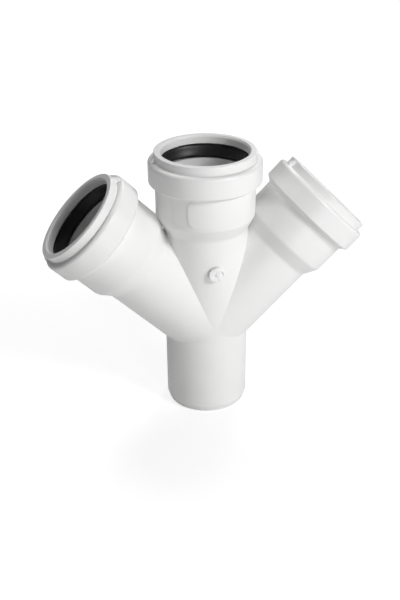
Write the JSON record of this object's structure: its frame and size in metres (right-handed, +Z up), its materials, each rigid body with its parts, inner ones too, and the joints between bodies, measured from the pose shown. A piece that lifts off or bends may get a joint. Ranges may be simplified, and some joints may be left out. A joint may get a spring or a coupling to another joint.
{
  "type": "lateral wye fitting",
  "caption": "Push-fit drain pipe fitting with a spigot, an in-line socket and opposed branch sockets leaning at 45 degrees, each with a rubber ring seal.",
  "frame": {"origin": "centre of the spigot's end face, at the bottom of the fitting", "axes": "+Z up the run from the spigot to the run socket, +X from the left branch towards the right branch, Y across the plane of the branches with the gate boss on the -Y side"},
  "size_m": [0.1908, 0.0654, 0.163],
  "materials": {
    "body_plastic": "white moulded polypropylene, satin",
    "seal_rubber": "black EPDM, smooth moulded"
  },
  "bodies": {
    "root": {"fitting_body": "body_plastic", "run_seal": "seal_rubber", "left_seal": "seal_rubber", "right_seal": "seal_rubber"}
  },
  "joints": []
}
